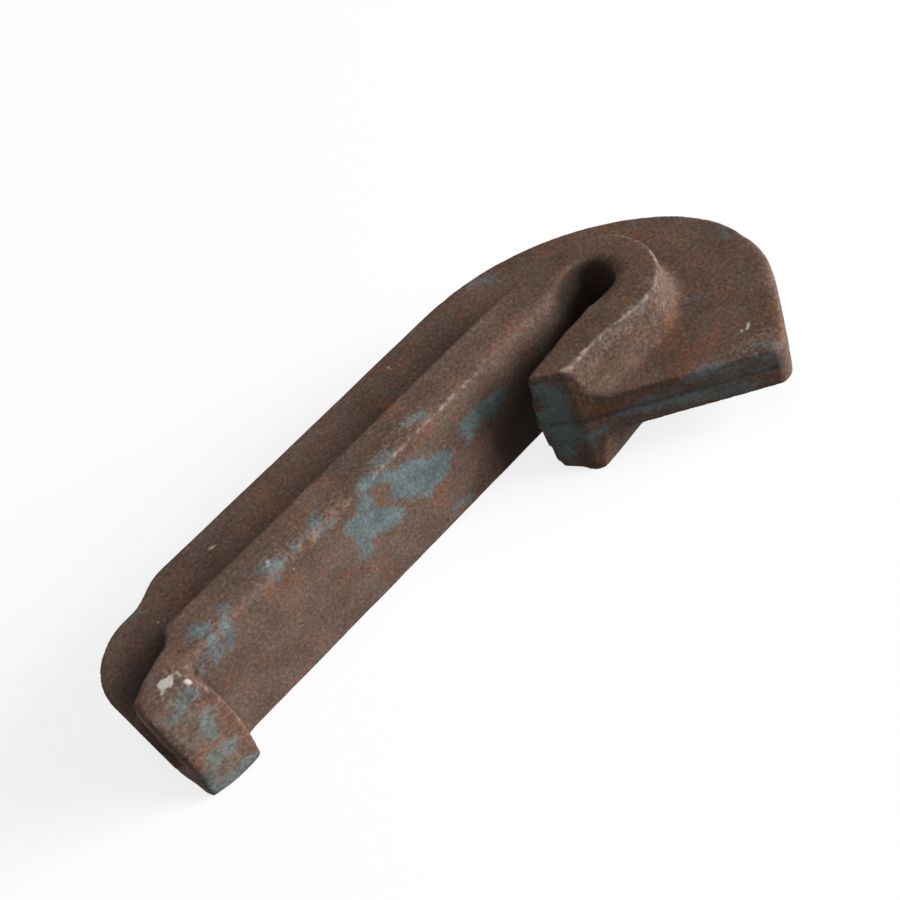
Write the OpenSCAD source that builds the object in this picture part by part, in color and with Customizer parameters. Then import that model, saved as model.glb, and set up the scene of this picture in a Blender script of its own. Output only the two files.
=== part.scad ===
// Rail anchor: a forged steel clip that is driven on across the foot of a rail.
// The hook takes one toe of the rail base, the flange bears on its underside,
// and the lip at the far end snaps up past the other toe.
// Frame: origin at the middle of the rail seat, on the centre plane of the rail.
// +X runs along the arm from the hook to the lip, +Y points up into the rail,
// and +Z runs along the rail. The forging is symmetric about its parting plane, z = 0.

/* [Rail seat] */
// Width of the rail base that the anchor grips
rail_base_w = 150; // [130:1:165]
// Clear height of the throat round the toe of the rail base
throat_gap = 12; // [10:0.5:14]
// Height of the lip above the rail seat
lip_h = 6; // [4:0.5:7]
// Length of the lip from the rail base to the end of the flange
lip_len = 15.5; // [12:0.5:18]
// Bow of the lip's inner face towards the rail base at the parting plane
lip_bow = 2; // [0.5:0.5:3]

/* [Flange] */
// Width of the flange along the rail
flange_w = 40; // [36:1:48]
// Thickness of the flange round the hook
hook_t = 9.5; // [8:0.5:10]
// Thickness of the flange along the arm
arm_t = 13; // [12:0.5:15]
// Thickness of the flange at the end of the lip
lip_t = 10; // [8:0.5:11]
// Radius of the back of the flange where it thickens from the hook to the arm
thicken_r = 60; // [50:1:90]
// Draft of the forged back of the flange
draft = 8; // [5:1:12]
// Radius of the fillets between the flange and the web
root_r = 4; // [2:0.5:5]
// Radius of the forged edges of the flange
edge_r = 1; // [0.5:0.25:2]

/* [Jaw] */
// Reach of the jaw over the rail base, on its outer face
jaw_len = 33; // [26:0.5:38]
// Crown of the jaw's inner face at the parting plane
jaw_crown = 1.5; // [0.5:0.5:3]
// Angle of the jaw's end from the arm
jaw_end_angle = 51; // [47:1:60]

/* [Web] */
// Thickness of the web
web_t = 15; // [12:0.5:18]
// Depth of the web's outer edge below the rail seat, at the hook
web_depth = 37.5; // [34:0.5:42]
// Further depth of the web at its toe
web_drop = 0.5; // [0:0.25:2]
// Rise of the web's outer edge behind the lip
toe_rise = 4; // [2:0.5:6]
// Radius of the web's toe below the lip
toe_r = 17; // [12:1:20]
// Overhang of the web past the end of the flange
toe_overhang = 2; // [1:0.5:5]

/* [Head] */
// Radius of the round back of the head
head_r = 34.5; // [31:0.5:38]
// Radius of the outer edge where the web turns up into the head
bend_r = 76; // [70:1:88]
// Angle of the driving side of the head from the arm
drive_angle = 46.5; // [42:0.5:50]
// Angle of the sheared end of the head from the arm
shear_angle = 37.5; // [37:0.5:44]
// Radius of the corner between the driving side and the sheared end
corner_r = 5; // [3:0.5:7]

/* [Hidden] */
$fn = 96;

// Degrees between the points of the web's arcs, of the root fillets and of the flange's edges
arc_step = 4;
fillet_step = 14;
edge_step = 30;
// Depth by which the fillets run out into the web
fillet_sink = 0.05;
// Half width of the flat on the crown of the jaw
crown_flat = 2;
// Room for solids that overlap or cut each other
overlap = 2;
margin = 60;

half_w = flange_w / 2;
half_web = web_t / 2;
throat_x = -rail_base_w / 2;
lip_x = rail_base_w / 2;
flange_end_x = lip_x + lip_len;
web_end_x = flange_end_x + toe_overhang;

// Hook: the throat's round end, the ring of flange around it and the jaw
throat_r = throat_gap / 2;
ring_r = throat_r + hook_t;
hook_c = [throat_x + throat_r, throat_r];
jaw_y = throat_gap + hook_t;
jaw_tip = [throat_x + jaw_len, jaw_y];

// Back of the arm by the hook: an easy curve that comes out of the ring just inside its back
thicken_sink = 0.3;
thicken_reach = thicken_r - ring_r + thicken_sink;
thicken_y = thicken_r - arm_t;
thicken_c = [hook_c.x + sqrt(pow(thicken_reach, 2) - pow(thicken_y - hook_c.y, 2)), thicken_y];
thicken_turn = -atan2(thicken_c.x - hook_c.x, thicken_c.y - hook_c.y);

// Back of the flange behind the lip: a steep step out of the arm, then a slope to the end
step_angle = 52;
step_lead = 4.2;
step_at = [lip_x - step_lead, -arm_t];
slope_angle = 15;
slope_lead = 9;
slope_len = lip_len + slope_lead;
slope_to = [flange_end_x, lip_h - lip_t];
slope_from = slope_to - slope_len * [1, tan(slope_angle)];

// Inner face of the lip: a wide arc about an axis square to the rail seat
bow_r = (pow(half_w, 2) + pow(lip_bow, 2)) / (2 * lip_bow);
bow_x = lip_x - lip_bow + bow_r;

// Head: a round back joined by the bend to the web's outer edge, and a corner that runs out
// just past the sheared end
head_shift = [-4.5, 9];
head_c = hook_c + head_shift;
bend_y = bend_r - web_depth;
bend_c = [head_c.x + sqrt(pow(bend_r - head_r, 2) - pow(bend_y - head_c.y, 2)), bend_y];
bend_end = atan2(head_c.y - bend_c.y, head_c.x - bend_c.x) + 360;
drive_dir = 90 + drive_angle;
drive_off = head_c * on_circle(drive_dir) + head_r;
shear_dir = 90 - shear_angle;
shear_off = jaw_tip * on_circle(shear_dir);
corner_sink = 0.1;
corner_c = line_meet(drive_dir, drive_off - corner_r, shear_dir, shear_off + corner_sink - corner_r);

// End of the jaw: it leaves the sheared end just under the jaw's outer face, at its own angle
jaw_break_drop = 1.2;
jaw_break = line_at(jaw_tip, shear_dir, jaw_y - jaw_break_drop);
jaw_end_dir = 90 - jaw_end_angle;

// Toe of the web: an easy rise behind the lip, then a quarter round to the end
toe_y = -web_depth - web_drop;
toe_c = [web_end_x - toe_r, toe_y + toe_rise + toe_r];
rise_len = 12;
rise_from = lip_x - rise_len - overlap;
rise_steps = 8;

function on_circle(a) = [cos(a), sin(a)];
function arc(c, r, a0, a1, step = arc_step) =
    let (n = ceil(abs(a1 - a0) / step))
    [for (i = [0:n]) c + r * on_circle(a0 + (a1 - a0) * i / n)];
// Point where two lines meet, each given by the angle of its normal and its offset
function line_meet(a, d, b, e) =
    [d * sin(b) - e * sin(a), e * cos(a) - d * cos(b)] / sin(b - a);
// Point at height y on a line through p with its normal at angle a
function line_at(p, a, y) = p + (p.y - y) * [tan(a), -1];

// Outline of the web and head, closed inside the rail's space and past the sheared end
module web_outline() {
    past_shear = overlap * on_circle(shear_dir);
    inside_x = lip_x - lip_bow - overlap;
    web_top = lip_h - lip_t / 2;
    polygon(concat(
        [[inside_x, web_top], [web_end_x, web_top]],
        arc(toe_c, toe_r, 360, 270),
        [for (i = [rise_steps:-1:0])
            [rise_from + rise_len * i / rise_steps,
             toe_y + toe_rise * (1 - cos(180 * i / rise_steps)) / 2]],
        arc(bend_c, bend_r, 270, bend_end),
        arc(head_c, head_r, bend_end, drive_dir),
        arc(corner_c, corner_r, drive_dir, shear_dir),
        [corner_c + corner_r * on_circle(shear_dir) + past_shear],
        [line_at(jaw_tip, shear_dir, throat_r) + past_shear, [inside_x, throat_r]]
    ));
}

// Polygon made of its upper half and the mirror image of that below the parting plane
module both_halves(upper) {
    polygon(concat(upper, [for (i = [len(upper) - 1:-1:0]) [upper[i].x, -upper[i].y]]));
}

// Section of the flange about the parting plane, depth t before its back edge,
// with the drafted back, its rounded edge and the fillets to the web; wider by spare on each side
module flange_section(t, spare = 0) {
    fillet_z = half_web + root_r - fillet_sink;
    fillet_x = (half_w - fillet_z) * tan(draft) + root_r / cos(draft);
    edge_x = -spare * tan(draft) - edge_r * (1 - sin(draft)) / cos(draft);
    both_halves(concat(
        [[-t, half_w + spare]],
        arc([edge_x, half_w + spare - edge_r], edge_r, 90, draft, edge_step),
        arc([fillet_x, fillet_z], root_r, 180 + draft, 270, fillet_step)
    ));
}

// Straight run of the flange: its back edge goes from one point to another, with the web on its right
module flange_run(from, to, t, spare = 0) {
    run = to - from;
    translate(from)
        rotate(atan2(run.y, run.x))
            rotate([90, 0, 90])
                linear_extrude(norm(run))
                    mirror([1, 0]) flange_section(t, spare);
}

// Bend of the flange about c, with its back edge at radius r and the web outside
module flange_bend(c, r, from, turn, t) {
    translate(c)
        rotate(from)
            rotate_extrude(angle = turn)
                translate([r, 0]) flange_section(t);
}

// Room past a plane across the forging, through p with its normal at angle a,
// going on from p to its left by 2 * margin and to its right by the given length
module beyond(p, a, right = margin) {
    translate(p)
        rotate(a)
            translate([0, -right, -half_w - overlap])
                cube([margin, right + 2 * margin, flange_w + 2 * overlap]);
}

// Section of the rail's space from the middle of the throat to one bearing face,
// with the face crowned, and flared at the sides of the flange to round its edges
module space_section(crown = 0) {
    side = half_w + overlap;
    both_halves(concat(
        [[-throat_r, side], [edge_r, side]],
        arc([edge_r, half_w - edge_r], edge_r, 90, 180, edge_step),
        [[-crown, crown_flat]]
    ));
}

// Space of the rail base: the round throat, the gap under the jaw and the seat up to the lip
module rail_space() {
    translate(hook_c)
        rotate(90)
            rotate_extrude(angle = 180)
                translate([throat_r, 0]) space_section();
    difference() {
        translate(hook_c)
            rotate([90, 0, 90])
                linear_extrude(lip_x + overlap - hook_c.x) {
                    translate([throat_r, 0]) space_section(jaw_crown);
                    translate([-throat_r, 0]) mirror([1, 0]) space_section();
                }
        translate([bow_x, 0, 0])
            rotate([90, 0, 0])
                cylinder(r = bow_r, h = 2 * margin, center = true);
    }
}

// Arm and hook, with the arm ending at the step behind the lip
module hook_and_arm() {
    flange_run([jaw_tip.x + hook_t, jaw_y], [hook_c.x, jaw_y], hook_t + overlap);
    flange_bend(hook_c, ring_r, 90, 180, hook_t + overlap);
    flange_bend(thicken_c, thicken_r, 270, thicken_turn, arm_t + overlap);
    difference() {
        flange_run([thicken_c.x, -arm_t], [flange_end_x, -arm_t], arm_t + overlap);
        beyond(step_at, step_angle - 90);
    }
}

// Lip: the flange goes on at a slope, trimmed to its end, its sides and its top with rounded edges
module lip() {
    intersection() {
        flange_run(slope_from, slope_to + overlap * [1, tan(slope_angle)], arm_t + lip_h, overlap);
        translate([flange_end_x - margin, 0, 0])
            rotate([90, 0, 90])
                linear_extrude(margin)
                    both_halves(concat(
                        [[lip_h - margin, half_w]],
                        arc([lip_h - edge_r, half_w - edge_r], edge_r, 90, 0, edge_step)
                    ));
    }
}

module rail_anchor() {
    color([0.43, 0.35, 0.31])
        difference() {
            union() {
                hook_and_arm();
                lip();
                linear_extrude(web_t, center = true) web_outline();
            }
            beyond(line_at(jaw_break, jaw_end_dir, throat_r), jaw_end_dir, 0);
            beyond(line_at(jaw_tip, shear_dir, throat_r), shear_dir, 0);
            rail_space();
        }
}

rail_anchor();
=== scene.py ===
"""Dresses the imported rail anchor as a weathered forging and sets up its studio."""

import logging
from dataclasses import dataclass, field
from enum import Enum

import bmesh
import bpy
import numpy as np
from mathutils import Matrix, Vector, noise
from mathutils.bvhtree import BVHTree

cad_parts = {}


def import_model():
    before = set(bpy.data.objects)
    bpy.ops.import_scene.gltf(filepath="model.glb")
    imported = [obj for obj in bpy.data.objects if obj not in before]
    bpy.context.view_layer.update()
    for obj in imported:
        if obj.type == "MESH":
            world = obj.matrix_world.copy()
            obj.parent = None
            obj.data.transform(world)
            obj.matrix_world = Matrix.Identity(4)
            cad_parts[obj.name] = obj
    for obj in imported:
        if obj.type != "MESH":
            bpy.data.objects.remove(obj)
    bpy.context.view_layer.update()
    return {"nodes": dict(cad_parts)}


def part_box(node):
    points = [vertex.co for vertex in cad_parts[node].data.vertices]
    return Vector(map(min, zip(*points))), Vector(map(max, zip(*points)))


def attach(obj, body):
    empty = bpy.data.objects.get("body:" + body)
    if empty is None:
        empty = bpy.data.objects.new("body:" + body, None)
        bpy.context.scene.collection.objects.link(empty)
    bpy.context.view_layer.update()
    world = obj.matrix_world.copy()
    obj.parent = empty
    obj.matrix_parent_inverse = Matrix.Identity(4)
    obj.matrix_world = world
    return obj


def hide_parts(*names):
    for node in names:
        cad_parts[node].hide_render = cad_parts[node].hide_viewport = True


log = logging.getLogger("rail_anchor")

MM = 0.001
TINY = 1e-9
NOISE_MIDDLE = 0.5
NODE = "rail_anchor"

Point = tuple[float, float, float]
Spot = tuple[float, float]
Span = tuple[float, float]
Colour = tuple[float, float, float, float]


def srgb(red: int, green: int, blue: int) -> Colour:
    """Turns a colour as seen on a screen into the linear one that a shader takes.

    Args:
        red: Red, 0 to 255.
        green: Green, 0 to 255.
        blue: Blue, 0 to 255.

    Returns:
        The linear colour with an alpha of 1.
    """
    parts = [channel / 255 for channel in (red, green, blue)]
    linear = [p / 12.92 if p <= 0.04045 else ((p + 0.055) / 1.055) ** 2.4 for p in parts]
    return (linear[0], linear[1], linear[2], 1.0)


def ramp(values: np.ndarray, span: Span) -> np.ndarray:
    """Grades values evenly from 0 to 1.

    Args:
        values: The values.
        span: The value that gives 0 and the one that gives 1, in either order.

    Returns:
        One share a value.
    """
    none, full = span
    return np.clip((values - none) / (full - none), 0.0, 1.0)


class Layer(Enum):
    """What lies on the bare forging, and the painted shade, light and highlights, each kept as an
    attribute of the mesh.
    """

    PAINT = "paint"
    CHIP = "chip"
    RUST = "rust"
    # Worn edges, and the highlights painted along them
    WEAR = "wear_and_highlight"
    # Painted shade in creases, the throat and under the jaw, and the parting line's dirt
    GRIME = "shade_and_seam_dark"
    # Dust, and light painted on the hook's outer flank
    DUST_AND_LIGHT = "dust_and_light"
    # Darker hook, head and web, and the jaw's shadow painted on the rail seat
    DULL = "shade_and_darkening"


@dataclass(frozen=True)
class Stroke:
    """A capsule in the row frame, in millimetres, that marks where a layer lies."""

    start: Point
    end: Point
    radius: float

    def reach(self, points: np.ndarray) -> np.ndarray:
        """Measures how deep points lie in the capsule.

        Args:
            points: One row per point, in millimetres.

        Returns:
            The depth below the capsule's skin in millimetres, less than 0 outside.
        """
        start = np.array(self.start)
        run = np.array(self.end) - start
        length = max(float(run @ run), TINY)
        along = np.clip((points - start) @ run / length, 0.0, 1.0)
        gap = np.linalg.norm(points - start - along[:, None] * run, axis=1)
        return self.radius - gap


def deepest(strokes: tuple[Stroke, ...], points: np.ndarray) -> np.ndarray:
    """Measures how deep points lie in the strokes that cover them best.

    Args:
        strokes: The strokes.
        points: One row per point, in millimetres.

    Returns:
        The greatest depth in millimetres, less than 0 outside every stroke.
    """
    return np.max([stroke.reach(points) for stroke in strokes], axis=0)


@dataclass(frozen=True)
class Face:
    """A face of the forging, in millimetres, on which marks are placed by two coordinates."""

    origin: Point
    first: Point
    second: Point

    def spot(self, first: float, second: float) -> Point:
        """Finds a place on the face.

        Args:
            first: How far along the face's first direction.
            second: How far along its second direction.

        Returns:
            The place in the row frame.
        """
        x, y, z = (o + first * a + second * b for o, a, b in zip(self.origin, self.first, self.second))
        return (x, y, z)

    def stroke(self, start: Spot, end: Spot, radius: float) -> Stroke:
        """Draws a stroke on the face.

        Args:
            start: Where it starts on the face.
            end: Where it ends on the face.
            radius: Half its width.

        Returns:
            The stroke.
        """
        return Stroke(self.spot(*start), self.spot(*end), radius)


@dataclass(frozen=True)
class Lean:
    """A spot that the dies and the trimming left out of line, in millimetres."""

    centre: Point
    radius: float
    shift: Point

    def move(self, points: np.ndarray) -> np.ndarray:
        """Carries points along, most at the centre and none past the radius.

        Args:
            points: One row per point, in millimetres.

        Returns:
            The moved points.
        """
        gap = np.linalg.norm(points - np.array(self.centre), axis=1)
        share = np.clip(1.0 - (gap / self.radius) ** 2, 0.0, 1.0) ** 2
        return points + share[:, None] * np.array(self.shift)


@dataclass(frozen=True)
class Fade:
    """A soft step: the values between which it lies, and what it goes from and to."""

    low: float
    high: float
    start: float = 0.0
    end: float = 1.0


@dataclass(frozen=True)
class Cloud:
    """A noise: its clouds in a metre, the octaves of finer noise and the strength of those."""

    per_metre: float
    detail: float
    roughness: float = 0.55


class ShaderGraph:
    """Adds and links the nodes of one material or world."""

    def __init__(self, tree: bpy.types.NodeTree, output: str) -> None:
        """Clears a node tree down to its output.

        Args:
            tree: The tree to build in.
            output: Blender's name for the kind of output.
        """
        self.tree = tree
        self.tree.nodes.clear()
        self.output = self.add(output)
        self.coordinates = self.add("ShaderNodeTexCoord").outputs["Object"]

    def add(self, kind: str, **settings: object) -> bpy.types.Node:
        """Adds one node.

        Args:
            kind: Blender's name for the node type.
            **settings: Properties to set on it.

        Returns:
            The new node.
        """
        node = self.tree.nodes.new(kind)
        for key, value in settings.items():
            setattr(node, key, value)
        return node

    def feed(self, socket: bpy.types.NodeSocket, value: object) -> None:
        """Links a socket into another one, or sets the other one to a constant.

        Args:
            socket: The input.
            value: An output socket, a number or a colour.
        """
        if isinstance(value, bpy.types.NodeSocket):
            self.tree.links.new(value, socket)
        else:
            socket.default_value = value

    def math(self, operation: str, first: object, second: object) -> bpy.types.NodeSocket:
        """Combines two values.

        Args:
            operation: Blender's name for the operation.
            first: A socket or a number.
            second: A socket or a number.

        Returns:
            The result's socket.
        """
        node = self.add("ShaderNodeMath", operation=operation)
        self.feed(node.inputs[0], first)
        self.feed(node.inputs[1], second)
        return node.outputs[0]

    def scaled(self, value: object, factor: float) -> bpy.types.NodeSocket:
        """Multiplies a value by a constant."""
        return self.math("MULTIPLY", value, factor)

    def noise(self, cloud: Cloud) -> bpy.types.NodeSocket:
        """Makes cloudy noise over the object.

        Args:
            cloud: What the noise is like.

        Returns:
            The noise's socket, around its middle.
        """
        node = self.add("ShaderNodeTexNoise", noise_dimensions="3D")
        self.feed(node.inputs["Vector"], self.coordinates)
        self.feed(node.inputs["Scale"], cloud.per_metre)
        self.feed(node.inputs["Detail"], cloud.detail)
        self.feed(node.inputs["Roughness"], cloud.roughness)
        return node.outputs[0]

    def cells(self, per_metre: float) -> bpy.types.NodeSocket:
        """Makes the distance to scattered points, for pits.

        Args:
            per_metre: Number of points in a metre.

        Returns:
            The distance's socket.
        """
        node = self.add("ShaderNodeTexVoronoi", feature="F1")
        self.feed(node.inputs["Vector"], self.coordinates)
        self.feed(node.inputs["Scale"], per_metre)
        return node.outputs["Distance"]

    def step(self, value: object, fade: Fade) -> bpy.types.NodeSocket:
        """Turns a value into a soft step.

        Args:
            value: A socket.
            fade: The step.

        Returns:
            The step's socket.
        """
        node = self.add("ShaderNodeMapRange", interpolation_type="SMOOTHSTEP")
        parts = (value, fade.low, fade.high, fade.start, fade.end)
        for socket, part in zip(node.inputs[:5], parts):
            self.feed(socket, part)
        return node.outputs[0]

    def mix(
        self, factor: object, first: object, second: object, blend: str = "MIX"
    ) -> bpy.types.NodeSocket:
        """Mixes two colours.

        Args:
            factor: A socket or a number.
            first: A socket or a colour.
            second: A socket or a colour.
            blend: Blender's name for the way to mix.

        Returns:
            The mixed colour's socket.
        """
        node = self.add("ShaderNodeMix", data_type="RGBA", blend_type=blend)
        self.feed(node.inputs[0], factor)
        # The node's colours come after its plain numbers and vectors
        self.feed(node.inputs[6], first)
        self.feed(node.inputs[7], second)
        return node.outputs[2]

    def layer(self, layer: Layer) -> bpy.types.NodeSocket:
        """Reads one layer's attribute."""
        return self.add("ShaderNodeAttribute", attribute_name=layer.value).outputs["Fac"]

    def frayed(self, layer: Layer, cloud: object, strength: float) -> bpy.types.NodeSocket:
        """Breaks up the edge of a layer.

        Args:
            layer: The layer.
            cloud: A noise around 0.
            strength: How far the noise shifts the edge.

        Returns:
            The socket of the layer with its edge broken up.
        """
        return self.math("ADD", self.layer(layer), self.scaled(cloud, strength))

    def seen(self) -> bpy.types.NodeSocket:
        """Gives 1 for rays that show a surface and 0 for those that only light others."""
        path = self.add("ShaderNodeLightPath")
        through = self.math("MAXIMUM", path.outputs["Is Glossy Ray"], path.outputs["Is Transmission Ray"])
        return self.math("MAXIMUM", path.outputs["Is Camera Ray"], through)


def new_material(name: str) -> tuple[bpy.types.Material, ShaderGraph]:
    """Starts a material.

    Args:
        name: Name of the material.

    Returns:
        The material and the graph to build it with.
    """
    material = bpy.data.materials.new(name)
    material.use_nodes = True
    return material, ShaderGraph(material.node_tree, "ShaderNodeOutputMaterial")


@dataclass(frozen=True)
class Clouds:
    """The noises that the finish is made from, from coarse to fine, then pits and torn edges."""

    mottle: bpy.types.NodeSocket
    hue: bpy.types.NodeSocket
    ragged: bpy.types.NodeSocket
    speckle: bpy.types.NodeSocket
    grain: bpy.types.NodeSocket
    hollow: bpy.types.NodeSocket
    torn: bpy.types.NodeSocket


@dataclass(frozen=True)
class WeatheredSteel:
    """Finish of the forging: fine rust with what is left of its paint, and painted shade, light and
    highlights in its colour.
    """

    dark_rust: Colour = srgb(98, 78, 68)
    rust: Colour = srgb(120, 97, 85)
    warm_rust: Colour = srgb(138, 95, 72)
    grey_rust: Colour = srgb(104, 94, 85)
    orange_rust: Colour = srgb(148, 94, 62)
    pale_fleck: Colour = srgb(154, 135, 122)
    pit: Colour = srgb(58, 44, 38)
    # Dark of the painted shade in creases, the throat and under the jaw, and of the parting line's dirt
    shade_and_seam_dark: Colour = srgb(28, 21, 18)
    # Darkens the hook, head and web, and paints the jaw's shadow on the rail seat
    darkening_tint: Colour = (0.5, 0.42, 0.355, 1.0)
    paint: Colour = srgb(114, 133, 135)
    paint_shade: Colour = srgb(95, 111, 112)
    chip: Colour = srgb(220, 217, 206)
    # Pale dust, which on the hook's outer flank and the jaw's corner also paints light
    dust_and_light: Colour = srgb(174, 156, 136)
    # Pale worn edges, which also paint the highlight along the rail seat's upper edge and the ring's edge
    worn_and_highlit_edge: Colour = srgb(190, 170, 150)
    mottle: Cloud = Cloud(75.0, 4.0)
    hue: Cloud = Cloud(190.0, 3.0)
    ragged: Cloud = Cloud(420.0, 3.0)
    speckle: Cloud = Cloud(950.0, 3.0, 0.6)
    grain: Cloud = Cloud(2300.0, 2.0)
    pits_per_metre: float = 330.0
    pit_rim: Fade = Fade(0.2, 0.07)
    pitted: Fade = Fade(0.42, 0.6)
    pit_share: float = 0.55
    tear_speckle: float = 0.5
    mottled: Fade = Fade(0.32, 0.68)
    warmed: Fade = Fade(0.5, 0.72, end=0.4)
    greyed: Fade = Fade(0.5, 0.28, end=0.55)
    stained: Fade = Fade(-1.0, 2.0, end=0.3)
    stain_fray: float = 4.0
    flecked: Fade = Fade(0.54, 0.7)
    fleck_grain: Fade = Fade(0.4, 0.65, end=0.32)
    painted: Fade = Fade(-1.0, 2.2, end=0.82)
    paint_fray: float = 3.0
    paint_mottled: Fade = Fade(0.35, 0.65)
    tone: Fade = Fade(0.5, 1.0, start=0.66, end=1.36)
    tone_grain: float = 0.5
    darkening_share: float = 0.65
    worn_and_highlit: Fade = Fade(0.3, 1.3, end=0.6)
    wear_and_highlight_fray: float = 2.0
    chipped: Fade = Fade(-0.1, 0.6, end=0.9)
    chip_fray: float = 1.6
    dusted_and_lit: Fade = Fade(-0.5, 4.0, end=0.21)
    dust_and_light_fray: float = 14.0
    shade_and_seam_share: float = 0.9
    roughness: float = 0.84
    paint_sheen: float = 0.2
    grain_roughness: float = 0.1
    specular: float = 0.25
    speckle_height: float = 0.6
    grain_height: float = 0.3
    pit_depth: float = 0.5
    paint_height: float = 0.1
    relief_strength: float = 0.4
    relief_depth: float = 0.0004

    def material(self) -> bpy.types.Material:
        """Builds the finish from the mesh's layers and noise.

        Returns:
            The material.
        """
        material, graph = new_material("weathered_steel")
        clouds = self._clouds(graph)
        painted = graph.step(graph.frayed(Layer.PAINT, clouds.torn, self.paint_fray), self.painted)
        paint = graph.mix(graph.step(clouds.hue, self.paint_mottled), self.paint_shade, self.paint)
        coated = graph.mix(painted, self._rusted(graph, clouds), paint)
        rough = graph.math("SUBTRACT", self.roughness, graph.scaled(painted, self.paint_sheen))
        rough = graph.math("ADD", rough, graph.scaled(clouds.grain, self.grain_roughness))
        shader = graph.add("ShaderNodeBsdfPrincipled")
        shader.inputs["Specular IOR Level"].default_value = self.specular
        graph.feed(shader.inputs["Base Color"], self._aged_and_shaded(graph, clouds, coated))
        graph.feed(shader.inputs["Roughness"], rough)
        graph.feed(shader.inputs["Normal"], self._relief(graph, clouds, painted))
        graph.feed(graph.output.inputs["Surface"], shader.outputs[0])
        return material

    def _clouds(self, graph: ShaderGraph) -> Clouds:
        """Makes the noises.

        Args:
            graph: The material's graph.

        Returns:
            The noises.
        """
        hue = graph.noise(self.hue)
        ragged = graph.noise(self.ragged)
        speckle = graph.noise(self.speckle)
        rims = graph.step(graph.cells(self.pits_per_metre), self.pit_rim)
        tear = graph.math("ADD", ragged, graph.scaled(speckle, self.tear_speckle))
        return Clouds(
            mottle=graph.noise(self.mottle),
            hue=hue,
            ragged=ragged,
            speckle=speckle,
            grain=graph.noise(self.grain),
            hollow=graph.math("MULTIPLY", rims, graph.step(hue, self.pitted)),
            torn=graph.math("SUBTRACT", tear, NOISE_MIDDLE * (1.0 + self.tear_speckle)),
        )

    def _rusted(self, graph: ShaderGraph, clouds: Clouds) -> bpy.types.NodeSocket:
        """Mixes the colour of the bare, rusted steel.

        Args:
            graph: The material's graph.
            clouds: The noises.

        Returns:
            The colour's socket.
        """
        colour = graph.mix(graph.step(clouds.mottle, self.mottled), self.dark_rust, self.rust)
        colour = graph.mix(graph.step(clouds.hue, self.warmed), colour, self.warm_rust)
        colour = graph.mix(graph.step(clouds.hue, self.greyed), colour, self.grey_rust)
        patchy = graph.math("SUBTRACT", clouds.ragged, NOISE_MIDDLE)
        stain = graph.frayed(Layer.RUST, patchy, self.stain_fray)
        colour = graph.mix(graph.step(stain, self.stained), colour, self.orange_rust)
        bright = graph.step(clouds.speckle, self.flecked)
        fleck = graph.math("MULTIPLY", bright, graph.step(clouds.grain, self.fleck_grain))
        colour = graph.mix(fleck, colour, self.pale_fleck)
        return graph.mix(graph.scaled(clouds.hollow, self.pit_share), colour, self.pit)

    def _aged_and_shaded(
        self, graph: ShaderGraph, clouds: Clouds, colour: bpy.types.NodeSocket
    ) -> bpy.types.NodeSocket:
        """Lays grain, darkening with the jaw's painted shadow, wear with painted highlights, chips, dust
        with painted light, and painted shade with the parting line's dirt over a colour.

        Args:
            graph: The material's graph.
            clouds: The noises.
            colour: The rusted and painted colour.

        Returns:
            The finished colour's socket.
        """
        grainy = graph.math("ADD", clouds.speckle, graph.scaled(clouds.grain, self.tone_grain))
        colour = graph.mix(1.0, colour, graph.step(grainy, self.tone), "MULTIPLY")
        # Darker hook, head and web, and the jaw's painted shadow on the rail seat
        shade_and_darkening = graph.scaled(graph.layer(Layer.DULL), self.darkening_share)
        colour = graph.mix(shade_and_darkening, colour, self.darkening_tint, "MULTIPLY")
        # Worn edges, which also paint highlights along them
        worn_and_lit = graph.frayed(Layer.WEAR, clouds.torn, self.wear_and_highlight_fray)
        colour = graph.mix(graph.step(worn_and_lit, self.worn_and_highlit), colour, self.worn_and_highlit_edge)
        struck = graph.frayed(Layer.CHIP, clouds.torn, self.chip_fray)
        colour = graph.mix(graph.step(struck, self.chipped), colour, self.chip)
        # Pale dust, which on the hook's flank also paints light
        sprinkled = graph.math("SUBTRACT", clouds.speckle, NOISE_MIDDLE)
        settled_and_lit = graph.frayed(Layer.DUST_AND_LIGHT, sprinkled, self.dust_and_light_fray)
        colour = graph.mix(graph.step(settled_and_lit, self.dusted_and_lit), colour, self.dust_and_light)
        # Painted shade in creases, the throat and under the jaw, and the parting line's dirt
        shaded_and_seamed = graph.scaled(graph.layer(Layer.GRIME), self.shade_and_seam_share)
        return graph.mix(shaded_and_seamed, colour, self.shade_and_seam_dark)

    def _relief(
        self, graph: ShaderGraph, clouds: Clouds, painted: bpy.types.NodeSocket
    ) -> bpy.types.NodeSocket:
        """Raises grain and paint and sinks pits.

        Args:
            graph: The material's graph.
            clouds: The noises.
            painted: Where the paint lies.

        Returns:
            The normal's socket.
        """
        speckled = graph.scaled(clouds.speckle, self.speckle_height)
        height = graph.math("ADD", speckled, graph.scaled(clouds.grain, self.grain_height))
        height = graph.math("SUBTRACT", height, graph.scaled(clouds.hollow, self.pit_depth))
        height = graph.math("ADD", height, graph.scaled(painted, self.paint_height))
        bump = graph.add("ShaderNodeBump")
        bump.inputs["Strength"].default_value = self.relief_strength
        bump.inputs["Distance"].default_value = self.relief_depth
        graph.feed(bump.inputs["Height"], height)
        return bump.outputs[0]


HALF_FLANGE = 20.0
HALF_WEB = 7.5
LIP_HEIGHT = 6.0
WEB_BACK = -37.5
FLANK_HEIGHT = 22.0

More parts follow.
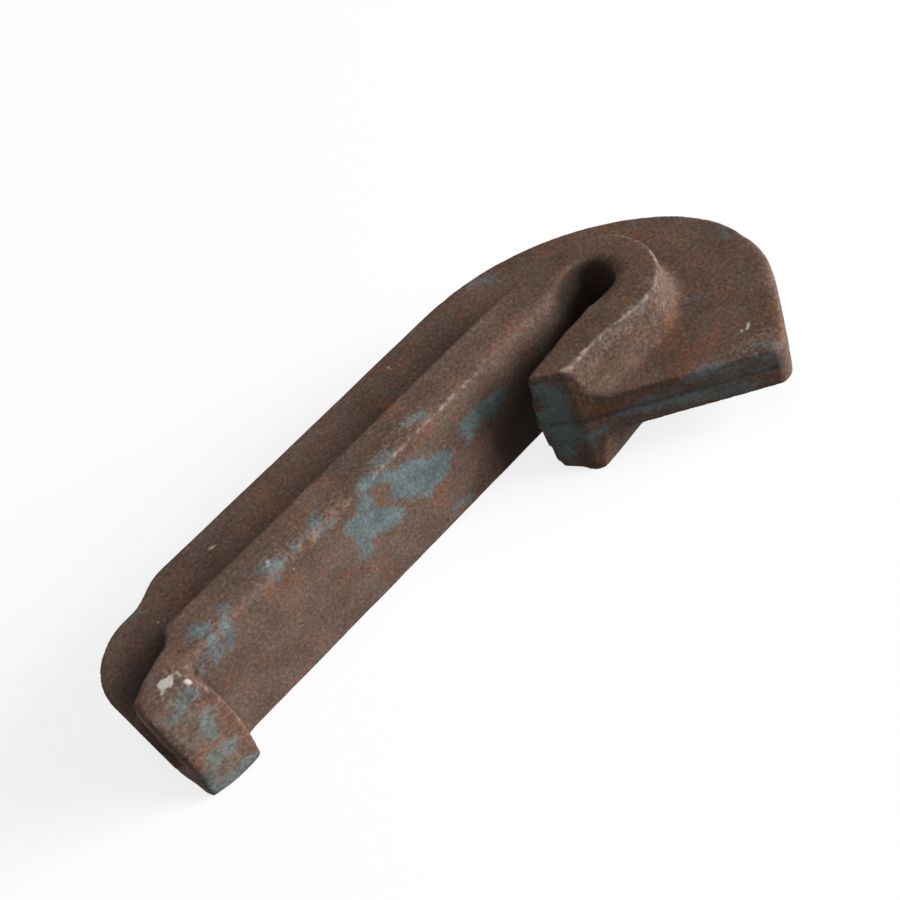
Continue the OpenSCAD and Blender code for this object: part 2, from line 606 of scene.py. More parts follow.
SEAT = Face((0.0, 0.0, 0.0), (1.0, 0.0, 0.0), (0.0, 0.0, 1.0))
LIP = Face((0.0, LIP_HEIGHT, 0.0), (1.0, 0.0, 0.0), (0.0, 0.0, 1.0))
FLANK = Face((0.0, FLANK_HEIGHT, 0.0), (1.0, 0.0, 0.0), (0.0, 0.0, 1.0))
BACK = Face((0.0, WEB_BACK, 0.0), (1.0, 0.0, 0.0), (0.0, 0.0, 1.0))
SIDE = Face((0.0, 0.0, HALF_FLANGE), (1.0, 0.0, 0.0), (0.0, 1.0, 0.0))
FAR_SIDE = Face((0.0, 0.0, -HALF_FLANGE), (1.0, 0.0, 0.0), (0.0, 1.0, 0.0))
WEB = Face((0.0, 0.0, HALF_WEB), (1.0, 0.0, 0.0), (0.0, 1.0, 0.0))
FAR_WEB = Face((0.0, 0.0, -HALF_WEB), (1.0, 0.0, 0.0), (0.0, 1.0, 0.0))
JAW_END = Face((-33.0, 11.0, 0.0), (-0.63, 0.78, 0.0), (0.0, 0.0, 1.0))
HEAD_END = Face((-41.5, 21.2, 0.0), (-0.79, 0.61, 0.0), (0.0, 0.0, 1.0))

PAINT: tuple[Stroke, ...] = (
    # Two large patches on the rail seat
    SEAT.stroke((2.5, 10.5), (-6.0, 3.0), 5.3),
    SEAT.stroke((5.5, 9.0), (-2.0, 0.5), 3.6),
    SEAT.stroke((-6.0, 8.0), (-11.0, 3.5), 2.5),
    SEAT.stroke((12.5, 20.0), (5.0, 14.5), 2.5),
    SEAT.stroke((13.5, 19.0), (14.5, 15.5), 2.0),
    SIDE.stroke((6.5, -2.5), (3.0, -1.0), 2.0),
    SEAT.stroke((19.0, 9.5), (11.5, 2.5), 4.4),
    SEAT.stroke((16.0, 7.0), (19.0, 4.0), 3.6),
    SEAT.stroke((15.5, 14.5), (15.5, 10.0), 2.8),
    SEAT.stroke((13.5, 3.0), (9.5, 0.5), 3.6),
    SEAT.stroke((20.5, 5.0), (21.5, 0.0), 2.8),
    SEAT.stroke((21.5, 12.5), (21.0, 7.5), 2.2),
    # Beside the jaw, and by the seat's lower edge
    SEAT.stroke((-21.0, 7.5), (-32.0, 6.0), 3.9),
    SEAT.stroke((-19.0, 6.5), (-19.0, 2.5), 2.0),
    SEAT.stroke((-24.0, 5.5), (-28.5, 3.5), 2.5),
    SEAT.stroke((-6.0, -15.0), (-11.5, -16.0), 1.7),
    # Flecks along the seat's upper edge
    SIDE.stroke((-7.0, -5.0), (-11.0, -3.5), 2.0),
    SEAT.stroke((30.0, 18.0), (24.5, 18.5), 1.1),
    SIDE.stroke((29.5, -2.0), (26.5, -3.0), 1.7),
    SIDE.stroke((32.5, -2.0), (30.0, -2.0), 1.1),
    SIDE.stroke((36.0, -3.0), (36.0, -0.5), 1.4),
    SIDE.stroke((44.5, -3.5), (40.5, -0.5), 2.0),
    SEAT.stroke((44.5, 19.0), (44.0, 17.5), 1.1),
    # Patch by the lip
    SIDE.stroke((58.5, -4.0), (60.5, -0.5), 1.7),
    SEAT.stroke((60.5, 19.0), (62.5, 14.0), 1.7),
    SEAT.stroke((57.5, 20.0), (60.5, 18.5), 1.4),
    SIDE.stroke((68.0, -5.0), (64.5, -3.0), 2.2),
    SEAT.stroke((65.5, 18.5), (67.5, 12.5), 2.0),
    SEAT.stroke((67.0, 16.0), (63.0, 12.5), 1.7),
    SEAT.stroke((69.5, 16.5), (67.5, 15.5), 1.4),
    SEAT.stroke((72.0, 14.5), (72.5, 11.5), 1.1),
    # Lip
    LIP.stroke((78.0, 19.5), (81.0, 18.0), 2.0),
    LIP.stroke((81.0, 16.0), (85.0, 14.5), 2.0),
    LIP.stroke((84.5, 16.5), (86.5, 16.5), 1.4),
    LIP.stroke((77.0, 16.0), (79.0, 15.5), 1.4),
    LIP.stroke((78.5, 8.0), (80.5, -0.5), 2.5),
    LIP.stroke((80.0, 7.0), (80.0, 2.5), 2.5),
    LIP.stroke((84.0, -7.0), (79.0, -8.5), 2.8),
    LIP.stroke((82.0, -8.0), (85.0, -10.0), 2.2),
    LIP.stroke((87.5, -18.5), (80.0, -19.5), 3.9),
    LIP.stroke((89.0, -11.0), (88.5, -19.0), 2.2),
    LIP.stroke((83.0, -16.5), (77.5, -18.5), 2.5),
    # End of the jaw
    JAW_END.stroke((6.0, 14.0), (7.5, 10.0), 3.6),
    JAW_END.stroke((4.5, 14.0), (6.0, 9.5), 3.1),
    JAW_END.stroke((6.5, 6.5), (6.0, -1.0), 3.9),
    JAW_END.stroke((3.5, 3.5), (6.0, -7.5), 3.6),
    JAW_END.stroke((2.5, -1.5), (4.5, -7.0), 2.8),
    JAW_END.stroke((9.0, -3.5), (12.5, -8.5), 2.2),
    JAW_END.stroke((4.0, -7.0), (5.0, -14.0), 3.1),
    # Sheared end of the head
    HEAD_END.stroke((0.5, -6.0), (3.5, -5.0), 1.7),
    HEAD_END.stroke((8.5, -0.5), (16.5, -0.5), 2.0),
    HEAD_END.stroke((15.5, 2.0), (23.5, 0.0), 2.0),
    HEAD_END.stroke((14.5, -2.0), (43.5, -4.0), 1.7),
    HEAD_END.stroke((20.0, -2.0), (29.5, -2.0), 2.2),
    HEAD_END.stroke((28.0, 5.5), (35.5, 6.5), 2.2),
    HEAD_END.stroke((29.5, 0.0), (40.0, 0.5), 2.0),
    HEAD_END.stroke((29.0, -4.0), (40.0, -4.5), 1.4),
    HEAD_END.stroke((36.0, 4.0), (43.5, 5.0), 1.7),
    HEAD_END.stroke((43.5, 0.5), (50.0, 0.5), 2.0),
    HEAD_END.stroke((46.5, 6.0), (49.5, 5.0), 1.7),
    # Edge of the hook, head and web
    SIDE.stroke((-68.5, 21.0), (-60.5, 20.5), 1.4),
    SIDE.stroke((-59.0, 20.5), (-54.0, 20.5), 1.1),
    WEB.stroke((-106.5, 14.0), (-105.0, 17.5), 1.4),
    WEB.stroke((-79.5, 47.0), (-82.5, 49.5), 1.4),
    WEB.stroke((-82.5, 23.0), (-85.0, 24.5), 0.8),
    WEB.stroke((-55.5, -34.0), (-60.5, -30.0), 1.4),
    WEB.stroke((75.0, -34.0), (71.5, -33.0), 1.7),
    # Sides away from the camera
    FAR_SIDE.stroke((18.0, -6.0), (33.0, -5.0), 2.5),
    FAR_SIDE.stroke((38.0, -7.0), (40.0, -4.0), 1.7),
    FAR_SIDE.stroke((-52.0, 8.0), (-46.0, 18.0), 2.2),
    FAR_WEB.stroke((40.0, -28.0), (54.0, -25.0), 3.0),
    FAR_WEB.stroke((57.0, -22.0), (58.0, -27.0), 2.0),
    FAR_WEB.stroke((-94.0, 30.0), (-88.0, 38.0), 3.0),
    FAR_WEB.stroke((-84.0, 28.0), (-86.0, 33.0), 2.0),
    BACK.stroke((0.0, -3.0), (16.0, 2.0), 2.5),
    BACK.stroke((24.0, 4.0), (29.0, 1.0), 1.7),
    Stroke((-70.0, -26.0, 3.0), (-64.0, -29.0, -2.0), 2.2),
    Stroke((92.0, -12.0, -2.0), (92.0, -18.0, 3.0), 2.2),
    Stroke((-103.0, 38.0, -2.0), (-100.0, 42.0, 3.0), 2.2),
)

CHIPS: tuple[Stroke, ...] = (
    # Bared spot on the lip's upper corner
    SIDE.stroke((82.0, -0.5), (79.0, 0.0), 1.1),
    SIDE.stroke((82.0, 0.5), (82.5, 2.5), 1.1),
    SIDE.stroke((82.5, 2.5), (79.5, 1.0), 0.8),
    SIDE.stroke((82.0, 1.0), (80.5, 0.5), 1.1),
    SIDE.stroke((78.0, 0.0), (76.5, 0.0), 0.7),
    SIDE.stroke((76.0, 1.0), (76.0, 2.0), 0.8),
    SIDE.stroke((76.0, 4.0), (75.5, 5.5), 1.1),
    LIP.stroke((75.0, 17.5), (75.0, 16.5), 0.8),
    # Flecks on the rail seat and its edge
    SEAT.stroke((6.0, 18.5), (6.0, 18.7), 0.5),
    SEAT.stroke((15.5, 18.5), (15.5, 18.7), 0.5),
    SEAT.stroke((39.5, 16.0), (39.0, 15.0), 0.5),
    SIDE.stroke((43.5, -4.5), (43.5, -3.5), 0.6),
    # Flecks on the web and the head
    WEB.stroke((70.0, -25.5), (70.0, -25.2), 0.5),
    WEB.stroke((50.5, -33.0), (50.0, -33.0), 0.6),
    WEB.stroke((47.0, -31.0), (48.0, -30.5), 0.6),
    WEB.stroke((-21.5, -33.5), (-21.5, -32.0), 0.6),
    WEB.stroke((-84.0, 40.5), (-83.0, 41.0), 0.6),
    WEB.stroke((-81.0, 40.5), (-81.5, 40.5), 0.6),
    WEB.stroke((-77.5, 45.0), (-78.0, 45.0), 0.5),
)

# Pale dust; on the hook's outer flank and the jaw's corner it also paints light
DUST_AND_LIGHT: tuple[Stroke, ...] = (
    # Side of the flange and the lip
    SIDE.stroke((-9.5, -5.0), (6.5, -2.5), 2.2),
    SIDE.stroke((19.5, -2.0), (28.5, -0.5), 2.5),
    SIDE.stroke((32.0, -4.0), (42.5, -3.5), 2.2),
    SIDE.stroke((75.5, 0.0), (82.5, 1.5), 2.2),
    LIP.stroke((75.0, 20.0), (74.5, 15.0), 1.4),
    LIP.stroke((82.0, 10.0), (84.0, -14.0), 6.5),
    SEAT.stroke((-25.5, 19.0), (-14.5, 19.5), 1.1),
    # Outer flank of the hook, from the ring down to the jaw: dust, and light painted on its lit band
    Stroke((-75.0, 18.5, 20.0), (-76.0, 21.0, 13.0), 2.8),
    FLANK.stroke((-70.0, 19.0), (-54.5, 17.0), 2.8),
    FLANK.stroke((-74.5, 14.5), (-63.5, 11.0), 2.5),
    FLANK.stroke((-51.5, 18.0), (-42.5, 11.5), 2.5),
    Stroke((-41.0, 20.0, 20.0), (-43.5, 23.0, 5.5), 1.7),
    # Head
    WEB.stroke((-84.0, 45.5), (-76.0, 44.0), 2.5),
    WEB.stroke((-101.0, 34.5), (-84.5, 52.0), 1.1),
)

RUST: tuple[Stroke, ...] = (
    # Rail seat and side of the flange
    SEAT.stroke((11.5, 12.0), (10.0, 7.0), 2.0),
    SEAT.stroke((6.5, 2.5), (-2.0, -1.0), 1.7),
    SEAT.stroke((-6.0, 17.0), (-10.5, 17.0), 2.0),
    SEAT.stroke((-6.5, -4.5), (-3.5, -7.5), 2.2),
    SEAT.stroke((47.5, 16.5), (40.5, 12.0), 2.2),
    SEAT.stroke((42.5, 8.0), (42.5, 4.0), 1.1),
    SEAT.stroke((56.0, 19.0), (56.0, 20.0), 2.2),
    SIDE.stroke((30.0, -6.5), (32.5, 0.0), 2.5),
    SIDE.stroke((73.0, -5.0), (70.0, -5.0), 2.2),
    # Lip
    LIP.stroke((75.0, 14.5), (75.0, -13.0), 1.4),
    LIP.stroke((76.5, 11.5), (76.0, -8.5), 3.3),
    Stroke((90.5, 1.0, -5.5), (82.5, 6.0, -3.0), 3.9),
    # Jaw and sheared end of the head
    JAW_END.stroke((13.0, 15.0), (14.5, 4.0), 2.2),
    JAW_END.stroke((11.5, -17.5), (13.0, -16.0), 2.2),
    HEAD_END.stroke((1.0, 3.0), (14.0, 1.5), 2.5),
    HEAD_END.stroke((37.5, 1.0), (50.0, -2.5), 2.5),
    # Head and web
    WEB.stroke((-91.5, -9.5), (-93.5, -3.0), 2.8),
    WEB.stroke((-62.0, 36.5), (-69.0, 34.0), 3.3),
    WEB.stroke((-72.0, 35.0), (-76.5, 36.5), 2.5),
    WEB.stroke((-75.5, 23.0), (-70.0, 28.0), 3.1),
    WEB.stroke((-95.0, 41.0), (-84.0, 52.0), 1.7),
    WEB.stroke((26.0, -32.5), (30.0, -25.5), 1.7),
    WEB.stroke((16.5, -28.5), (25.0, -32.5), 1.4),
    Stroke((-12.5, -24.5, 7.5), (-8.0, -11.0, 20.0), 2.2),
)

# Pale worn edges, the same pale line also painting the highlight seen along them
WORN_AND_HIGHLIT: tuple[Stroke, ...] = (
    # Upper edge of the rail seat
    SEAT.stroke((-25.0, 19.7), (-15.0, 19.7), 1.4),
    SEAT.stroke((-13.5, 19.7), (-7.0, 19.7), 1.2),
    SEAT.stroke((-3.5, 19.5), (1.5, 19.5), 1.1),
    SEAT.stroke((10.5, 19.0), (16.0, 18.7), 0.8),
    # Edge of the hook, from its bend to the jaw
    WEB.stroke((-91.0, -9.0), (-92.0, -2.5), 1.1),
    Stroke((-92.0, -2.5, 7.5), (-82.5, 13.0, 19.7), 1.4),
    SIDE.stroke((-82.5, 13.0), (-76.5, 18.0), 1.4),
    SIDE.stroke((-76.5, 18.0), (-69.0, 20.5), 1.7),
    SIDE.stroke((-69.0, 20.5), (-54.0, 20.0), 1.7),
    SIDE.stroke((-54.0, 20.0), (-41.0, 19.5), 1.7),
    # Corner under the jaw, and the lip
    Stroke((-41.0, 19.5, 20.0), (-41.5, 21.0, 9.5), 1.4),
    Stroke((-41.5, 21.0, 9.5), (-44.0, 23.0, 5.5), 1.1),
    Stroke((75.0, 2.5, 20.0), (75.0, 6.0, 16.5), 1.1),
    LIP.stroke((75.0, 16.5), (74.0, -4.5), 0.8),
)

PAINTED_SHADE: tuple[Stroke, ...] = (
    # Painted shade inside the throat, and the jaw's shadow painted on the rail seat below it
    Stroke((-70.0, 6.0, -12.0), (-70.0, 6.0, 5.0), 13.0),
    Stroke((-58.0, 6.0, -14.0), (-58.0, 6.0, 1.0), 12.5),
    Stroke((-46.0, 3.0, -18.0), (-46.0, 3.0, -4.0), 13.0),
    Stroke((-40.0, 0.0, -24.0), (-36.0, 0.0, -10.0), 13.0),
    Stroke((-66.0, -1.0, -16.0), (-66.0, -1.0, 15.0), 12.5),
    # Painted shade in the pocket behind the lip
    Stroke((73.0, -17.0, 7.5), (86.0, -13.0, 7.5), 9.0),
)

SHADE_AND_DARKENED: tuple[Stroke, ...] = (
    # Darker outer side of the hook and the jaw, and the jaw's shadow painted on the rail seat below and
    # beside it
    Stroke((-48.0, 23.0, 12.0), (-70.0, 23.0, 12.0), 9.5),
    Stroke((-44.0, 23.0, 12.0), (-58.0, 32.0, 8.0), 11.0),
    Stroke((-18.0, 0.0, -20.0), (-40.0, 0.0, -8.0), 12.0),
    SEAT.stroke((-14.0, 4.0), (-3.0, 6.0), 4.0),
    # Darker side of the flange between the throat and the middle of the arm
    SIDE.stroke((-52.0, -7.0), (15.0, -7.0), 4.5),
)

BLUNTED: tuple[Stroke, ...] = (
    # Upper edge of the rail seat towards the lip, and the lip's upper corner
    Stroke((22.0, 0.0, 20.0), (75.0, 0.0, 20.0), 4.5),
    Stroke((75.0, 6.0, 20.0), (90.5, 6.0, 20.0), 4.5),
    Stroke((90.5, -4.0, 20.0), (90.5, 6.0, 20.0), 5.0),
    Stroke((90.5, 6.0, 20.0), (90.5, 6.0, -12.0), 3.5),
    # Mouth of the throat
    Stroke((-34.0, 0.0, 20.0), (-69.0, 0.0, 20.0), 4.5),
    Stroke((-69.0, 0.0, 20.0), (-74.2, 3.0, 20.0), 4.5),
    Stroke((-74.2, 3.0, 20.0), (-74.2, 9.0, 20.0), 4.0),
    Stroke((-74.2, 9.0, 20.0), (-64.0, 12.0, 20.0), 3.2),
    # Lower corner of the jaw's end, and the edge of the head
    Stroke((-34.5, 12.5, -19.5), (-37.0, 15.5, -20.0), 3.2),
    Stroke((-84.0, 51.5, 7.5), (-100.0, 35.0, 7.5), 2.5),
    Stroke((-100.0, 35.0, 7.5), (-107.0, 20.0, 7.5), 2.5),
)

LEANS: tuple[Lean, ...] = (
    # The lip's end and the jaw, both thicker below than above
    Lean((90.5, -4.0, -20.0), 17.0, (1.2, -2.4, 0.0)),
    Lean((90.5, -4.0, 20.0), 14.0, (-0.7, 0.6, 0.0)),
    Lean((90.5, -6.0, -18.0), 8.0, (0.8, -1.7, 0.0)),
    Lean((88.0, 6.0, -20.0), 9.0, (0.3, 0.9, 0.0)),
    Lean((80.0, 6.0, -20.0), 12.0, (0.2, 1.5, 0.0)),
    Lean((-42.0, 21.0, -20.0), 16.0, (1.0, 1.1, 0.0)),
    Lean((-46.0, 21.5, 20.0), 17.0, (0.0, -2.0, 0.0)),
    Lean((-60.0, 21.5, 20.0), 13.0, (0.0, -1.0, 0.0)),
    # Mouth of the throat, which slants towards the rail seat
    Lean((-68.0, 5.0, 20.0), 16.0, (0.8, -4.0, 0.0)),
    Lean((-55.0, 10.0, 20.0), 12.0, (0.0, -1.4, 0.0)),
    # Back of the head, a little fuller than its round
    Lean((-104.5, 20.0, 0.0), 20.0, (-1.4, 0.7, 0.0)),
)


@dataclass
class Forging:
    """The anchor's one body: a softened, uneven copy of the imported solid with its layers.

    Lengths are in millimetres. A span gives where a layer is none and where it is full.
    """

    voxel: float = 0.7
    weld: float = 0.001
    soften_passes: int = 2
    blunt_passes: int = 26
    smoothing: float = 0.5
    wave: float = 0.16
    wave_length: float = 15.0
    dent: float = 0.1
    dent_length: float = 4.5
    pit: float = 0.06
    pit_length: float = 1.9
    sunk: float = 0.2
    swing: float = 0.5
    seam: float = 0.22
    seam_width: Span = (1.4, 0.4)
    seam_upright: Span = (0.5, 0.2)
    seam_soot: float = 0.6
    seat_facing: float = 0.85
    seat_heights: Span = (-1.0, 13.0)
    seat_reach: float = 76.0
    tear: float = 1.1
    tear_length: float = 3.6
    tear_seed: int = 5
    mark_depth: float = 3.0
    bend_passes: int = 3
    ridge: Span = (0.03, 0.1)
    # Creases get painted shade
    crease: Span = (0.04, 0.16)
    worn_and_lit: Span = (-0.5, 0.5)
    # Depth at which the painted shade of the listed strokes is full
    painted_shade_span: Span = (0.0, 8.0)
    open_height: float = 12.0
    open_share: float = 0.6
    # Depth at which the darkening and painted shadow of the listed strokes is full
    darkened_span: Span = (0.0, 8.0)
    flat: Span = (0.75, 0.95)
    hook_along: Span = (-46.0, -68.0)
    hook_up: Span = (11.0, 12.0)
    hook_end: float = -30.0
    web_share: float = 0.35
    web_sides: Span = (12.0, 8.0)
    web_end: Span = (82.0, 68.0)
    finish: WeatheredSteel = field(default_factory=WeatheredSteel)

    def build(self, node: bpy.types.Object) -> bpy.types.Object:
        """Makes the body and dresses it.

        Args:
            node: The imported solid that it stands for.

        Returns:
            The finished object.
        """
        mesh = self._fine_copy(node)
        self._soften(mesh)
        self._weather(mesh, node)
        self._mark(mesh)
        mesh.shade_smooth()
        body = bpy.data.objects.new("forged_body", mesh)
        bpy.context.scene.collection.objects.link(body)
        mesh.materials.clear()
        mesh.materials.append(self.finish.material())
        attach(body, "root")
        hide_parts(NODE)
        return body

    def _fine_copy(self, node: bpy.types.Object) -> bpy.types.Mesh:
        """Copies the solid into an even mesh fine enough to carry its unevenness.

        Args:
            node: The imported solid.

        Returns:
            The fine mesh.
        """
        blank = node.data.copy()
        shell = bmesh.new()
        shell.from_mesh(blank)
        bmesh.ops.remove_doubles(shell, verts=shell.verts, dist=self.weld * MM)
        shell.to_mesh(blank)
        skin = BVHTree.FromBMesh(shell)
        shell.free()
        carrier = bpy.data.objects.new("forging_blank", blank)
        bpy.context.scene.collection.objects.link(carrier)
        voxels = carrier.modifiers.new("voxels", "REMESH")
        voxels.mode = "VOXEL"
        voxels.voxel_size = self.voxel * MM
        voxels.adaptivity = 0.0
        depsgraph = bpy.context.evaluated_depsgraph_get()
        fine = bpy.data.meshes.new_from_object(carrier.evaluated_get(depsgraph))
        fine.name = "forged_body"
        for vert in fine.vertices:
            vert.co = skin.find_nearest(vert.co)[0]
        bpy.data.objects.remove(carrier)
        bpy.data.meshes.remove(blank)
        return fine

    def _soften(self, mesh: bpy.types.Mesh) -> None:
        """Rounds every edge as a forging's are, and the blunted ones more.

        Args:
            mesh: The fine mesh.
        """
        shell = bmesh.new()
        shell.from_mesh(mesh)
        verts = list(shell.verts)
        depth = deepest(BLUNTED, np.array([vert.co for vert in verts]) / MM)
        blunted = [verts[i] for i in np.flatnonzero(depth > 0.0)]
        for passes, chosen in ((self.blunt_passes, blunted), (self.soften_passes, verts)):
            for _ in range(passes):
                bmesh.ops.smooth_vert(
                    shell,
                    verts=chosen,
                    factor=self.smoothing,
                    use_axis_x=True,
                    use_axis_y=True,
                    use_axis_z=True,
                )
        shell.to_mesh(mesh)
        shell.free()

    def _weather(self, mesh: bpy.types.Mesh, node: bpy.types.Object) -> None:
        """Sinks waves, dents, pits and the parting line, leans what is out of line, and keeps to the box.

        Args:
            mesh: The softened mesh.
            node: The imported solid.
        """
        low, high = (np.array(corner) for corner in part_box(node.name))
        points = self._points(mesh)
        normals = self._normals(mesh)
        bands = ((self.wave, self.wave_length), (self.dent, self.dent_length), (self.pit, self.pit_length))
        sink = np.zeros(len(points))
        for depth, length in bands:
            cloud = [noise.noise(Vector(point / (length * MM))) for point in points]
            sink += depth * MM * (self.sunk + self.swing * np.array(cloud))
        sink += self.seam * MM * self._seam(points / MM, normals)
        moved = (points - sink[:, None] * normals) / MM
        for lean in LEANS:
            moved = lean.move(moved)
        mesh.vertices.foreach_set("co", np.clip(moved * MM, low, high).ravel())
        mesh.update()

    def _seam(self, points: np.ndarray, normals: np.ndarray) -> np.ndarray:
        """Follows the trimmed parting line round the outside of the forging.

        Args:
            points: One row per point, in millimetres.
            normals: The skin's normal at each point.

        Returns:
            1 on the line, down to 0 a little to either side of it, one value a point.
        """
        along, up, across = points.T
        below, above = self.seat_heights
        upright = ramp(np.abs(normals[:, 2]), self.seam_upright) * (normals[:, 1] < self.seat_facing)
        outside = (up < below) | (up > above) | (np.abs(along) > self.seat_reach)
        return upright * outside * ramp(np.abs(across), self.seam_width)

    def _mark(self, mesh: bpy.types.Mesh) -> None:
        """Writes the layers that the finish reads.

        Args:
            mesh: The finished mesh.
        """
        points = self._points(mesh) / MM
        normals = self._normals(mesh)
        bend = self._bend(mesh)
        noise.seed_set(self.tear_seed)
        shifts = [noise.noise_vector(Vector(point / self.tear_length)) for point in points]
        torn = points + self.tear * np.array(shifts)
        marks = {Layer.PAINT: PAINT, Layer.CHIP: CHIPS, Layer.DUST_AND_LIGHT: DUST_AND_LIGHT, Layer.RUST: RUST}
        values = {
            layer: deepest(strokes, torn).clip(-self.mark_depth, self.mark_depth)
            for layer, strokes in marks.items()
        }
        # Worn edges and painted highlights, on ridges only
        values[Layer.WEAR] = ramp(deepest(WORN_AND_HIGHLIT, points), self.worn_and_lit) * ramp(bend, self.ridge)
        # Painted shade, and the parting line's dirt
        values[Layer.GRIME] = self._shade_and_seam(points, normals, bend)
        # Darkening, with the jaw's painted shadow
        values[Layer.DULL] = self._shade_and_darkening(points, normals)
        for layer, value in values.items():
            attribute = mesh.attributes.new(layer.value, "FLOAT", "POINT")
            attribute.data.foreach_set("value", value.astype(np.float32))

    def _shade_and_seam(self, points: np.ndarray, normals: np.ndarray, bend: np.ndarray) -> np.ndarray:
        """Marks painted shade in creases, in the throat, under the jaw and behind the lip, and the dirt
        along the parting line.

        Args:
            points: One row per point, in millimetres.
            normals: The skin's normal at each point.
            bend: How the skin bends at each point.

        Returns:
            1 where painted shade or the parting line's dirt covers the steel, down to 0 where there is
            none, one value a point.
        """
        # The painted shade is weaker on high tops that face up
        open_top = np.clip(normals[:, 2], 0.0, 1.0) * (points[:, 2] > self.open_height)
        painted_shade_spots = ramp(deepest(PAINTED_SHADE, points), self.painted_shade_span) * (1.0 - self.open_share * open_top)
        line = self.seam_soot * self._seam(points, normals)
        # Creases are darkened as painted shade
        return np.max([ramp(-bend, self.crease), painted_shade_spots, line], axis=0)

    def _shade_and_darkening(self, points: np.ndarray, normals: np.ndarray) -> np.ndarray:
        """Marks where the colour is darkened: the web, the head, the top of the hook and the listed spots,
        which paint the jaw's shadow on the rail seat.

        Args:
            points: One row per point, in millimetres.
            normals: The skin's normal at each point.

        Returns:
            1 on the hook's sides, less on the web and 0 elsewhere, one value a point.
        """
        along, up, across = points.T
        hook = np.maximum(ramp(along, self.hook_along), ramp(up, self.hook_up)) * (along < self.hook_end)
        web = self.web_share * ramp(np.abs(across), self.web_sides) * ramp(along, self.web_end)
        facing = ramp(np.abs(normals[:, 2]), self.flat)
        return np.maximum(facing * np.maximum(hook, web), ramp(deepest(SHADE_AND_DARKENED, points), self.darkened_span))

    def _points(self, mesh: bpy.types.Mesh) -> np.ndarray:
        """Reads the mesh's points as rows, in metres."""
        flat = np.empty(len(mesh.vertices) * 3)
        mesh.vertices.foreach_get("co", flat)
        return flat.reshape(-1, 3)

    def _normals(self, mesh: bpy.types.Mesh) -> np.ndarray:
        """Reads the skin's normals as rows."""
        flat = np.empty(len(mesh.vertices) * 3)
        mesh.vertices.foreach_get("normal", flat)
        return flat.reshape(-1, 3)

    def _bend(self, mesh: bpy.types.Mesh) -> np.ndarray:
        """Measures how the skin bends, over a few voxels.

        Args:
            mesh: The finished mesh.

        Returns:
            Above 0 on ridges and below 0 in hollows, one value a point.
        """
        points = self._points(mesh)
        pairs = np.empty(len(mesh.edges) * 2, dtype=np.int32)
        mesh.edges.foreach_get("vertices", pairs)
        first, second = pairs.reshape(-1, 2).T
        count = np.bincount(pairs, minlength=len(points))[:, None]

        def around(values: np.ndarray) -> np.ndarray:
            """Averages each point's neighbours."""
            total = np.zeros_like(values)
            np.add.at(total, first, values[second])
            np.add.at(total, second, values[first])
            return total / count

        bend = -np.sum((around(points) - points) * self._normals(mesh), axis=1, keepdims=True)
        for _ in range(self.bend_passes):
            bend = (bend + around(bend)) / 2
        return bend[:, 0] / (self.voxel * MM)


@dataclass(frozen=True)
class Lamp:
    """A round soft lamp that points at the origin."""

    name: str
    direction: Point
    distance: float
    size: float
    power: float

    def hang(self) -> None:
        """Adds the lamp to the scene."""
        light = bpy.data.lights.new(self.name, "AREA")
        light.shape = "DISK"
        light.size = self.size
        light.energy = self.power
        toward = Vector(self.direction).normalized()
        lamp = bpy.data.objects.new(self.name, light)
        lamp.location = toward * self.distance
        lamp.rotation_euler = toward.to_track_quat("Z", "Y").to_euler()
        bpy.context.scene.collection.objects.link(lamp)


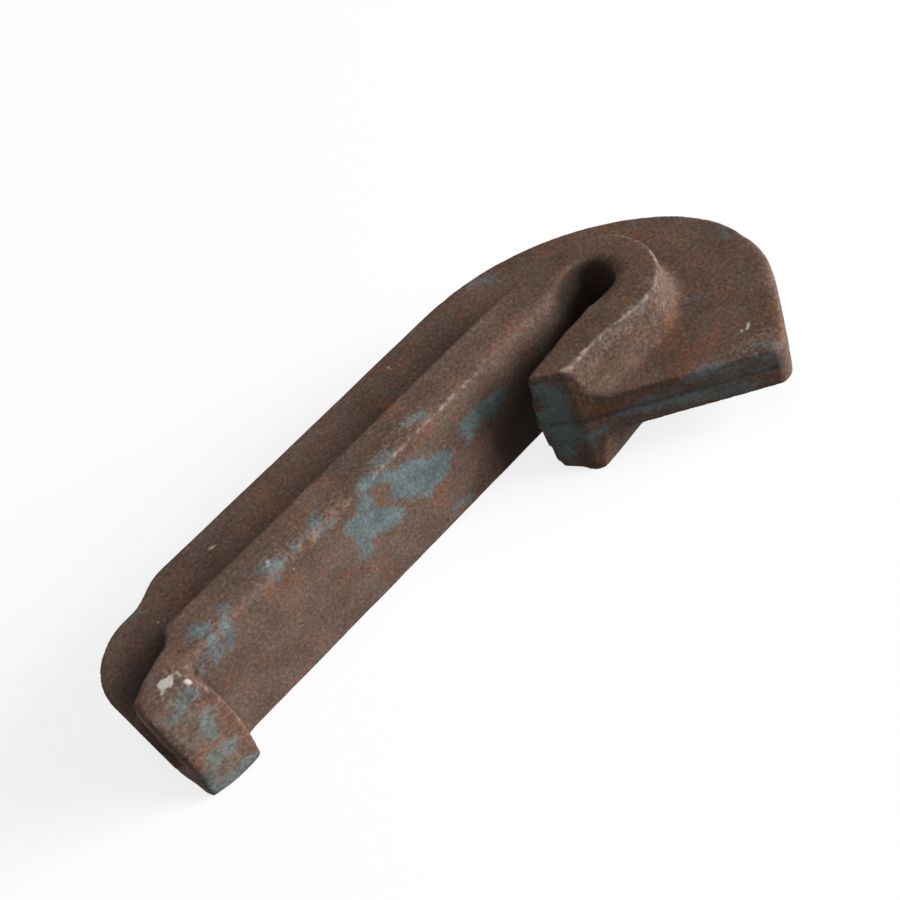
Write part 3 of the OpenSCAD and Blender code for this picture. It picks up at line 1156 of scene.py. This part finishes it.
@dataclass
class Studio:
    """Pale floor, soft light and the camera of the portrait."""

    floor_level: float = -0.020
    floor_size: float = 12.0
    floor_pale: float = 0.8
    floor_bounce: float = 0.12
    floor_glow: float = 1.18
    floor_glow_share: float = 0.68
    camera_at: Point = (0.09136, 0.22548, 0.30397)
    camera_right: Point = (-0.6794, 0.6794, -0.2774)
    camera_down: Point = (0.6837, 0.4487, -0.5755)
    lens: float = 60.0
    sensor: float = 36.0
    nearest: float = 0.01
    ambient: float = 0.12
    lamps: tuple[Lamp, ...] = (
        Lamp("side_lamp", (-0.73, 0.58, 0.36), distance=2.4, size=1.5, power=86.0),
        Lamp("top_lamp", (-0.1, 0.1, 0.96), distance=2.4, size=1.6, power=9.0),
    )

    def build(self) -> None:
        """Builds the floor, the lights and the camera in order."""
        self._floor()
        for lamp in self.lamps:
            lamp.hang()
        self._world()
        self._camera()

    def _floor(self) -> None:
        """Lays a pale floor that looks white but keeps the anchor's shadow."""
        shell = bmesh.new()
        bmesh.ops.create_grid(shell, x_segments=1, y_segments=1, size=self.floor_size / 2)
        bmesh.ops.translate(shell, verts=shell.verts, vec=(0.0, 0.0, self.floor_level))
        mesh = bpy.data.meshes.new("studio_floor")
        shell.to_mesh(mesh)
        shell.free()
        material, graph = new_material("pale_floor")
        seen = graph.seen()
        bounce, pale = ((grey, grey, grey, 1.0) for grey in (self.floor_bounce, self.floor_pale))
        matt = graph.add("ShaderNodeBsdfDiffuse")
        graph.feed(matt.inputs["Color"], graph.mix(seen, bounce, pale))
        glow = graph.add("ShaderNodeEmission")
        glow.inputs["Strength"].default_value = self.floor_glow
        blend = graph.add("ShaderNodeMixShader")
        graph.feed(blend.inputs[0], graph.scaled(seen, self.floor_glow_share))
        graph.feed(blend.inputs[1], matt.outputs[0])
        graph.feed(blend.inputs[2], glow.outputs[0])
        graph.feed(graph.output.inputs["Surface"], blend.outputs[0])
        mesh.materials.append(material)
        floor = bpy.data.objects.new("studio_floor", mesh)
        bpy.context.scene.collection.objects.link(floor)

    def _world(self) -> None:
        """Surrounds the studio with even light that shows as white."""
        world = bpy.data.worlds.new("studio_world")
        world.use_nodes = True
        graph = ShaderGraph(world.node_tree, "ShaderNodeOutputWorld")
        sky = graph.add("ShaderNodeBackground")
        sky.inputs["Color"].default_value = (1.0, 1.0, 1.0, 1.0)
        strength = graph.step(graph.seen(), Fade(0.0, 1.0, start=self.ambient, end=1.0))
        graph.feed(sky.inputs["Strength"], strength)
        graph.feed(graph.output.inputs["Surface"], sky.outputs[0])
        bpy.context.scene.world = world

    def _camera(self) -> None:
        """Sets the camera where the photograph was taken from."""
        right = Vector(self.camera_right).normalized()
        back = right.cross(-Vector(self.camera_down)).normalized()
        up = back.cross(right)
        lens = bpy.data.cameras.new("portrait_camera")
        lens.lens = self.lens
        lens.sensor_width = self.sensor
        lens.clip_start = self.nearest
        camera = bpy.data.objects.new("portrait_camera", lens)
        turn = Matrix((right, up, back)).transposed().to_4x4()
        camera.matrix_world = Matrix.Translation(self.camera_at) @ turn
        bpy.context.scene.collection.objects.link(camera)
        bpy.context.scene.camera = camera


def main() -> None:
    """Loads the frame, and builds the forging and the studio."""
    logging.basicConfig(level=logging.INFO, format="%(name)s: %(message)s")
    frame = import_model()
    bpy.context.scene.view_settings.view_transform = "Standard"
    body = Forging().build(frame["nodes"][NODE])
    log.info("%s has %d faces", body.name, len(body.data.polygons))
    Studio().build()
    log.info("studio is set")


if __name__ == "__main__":
    main()
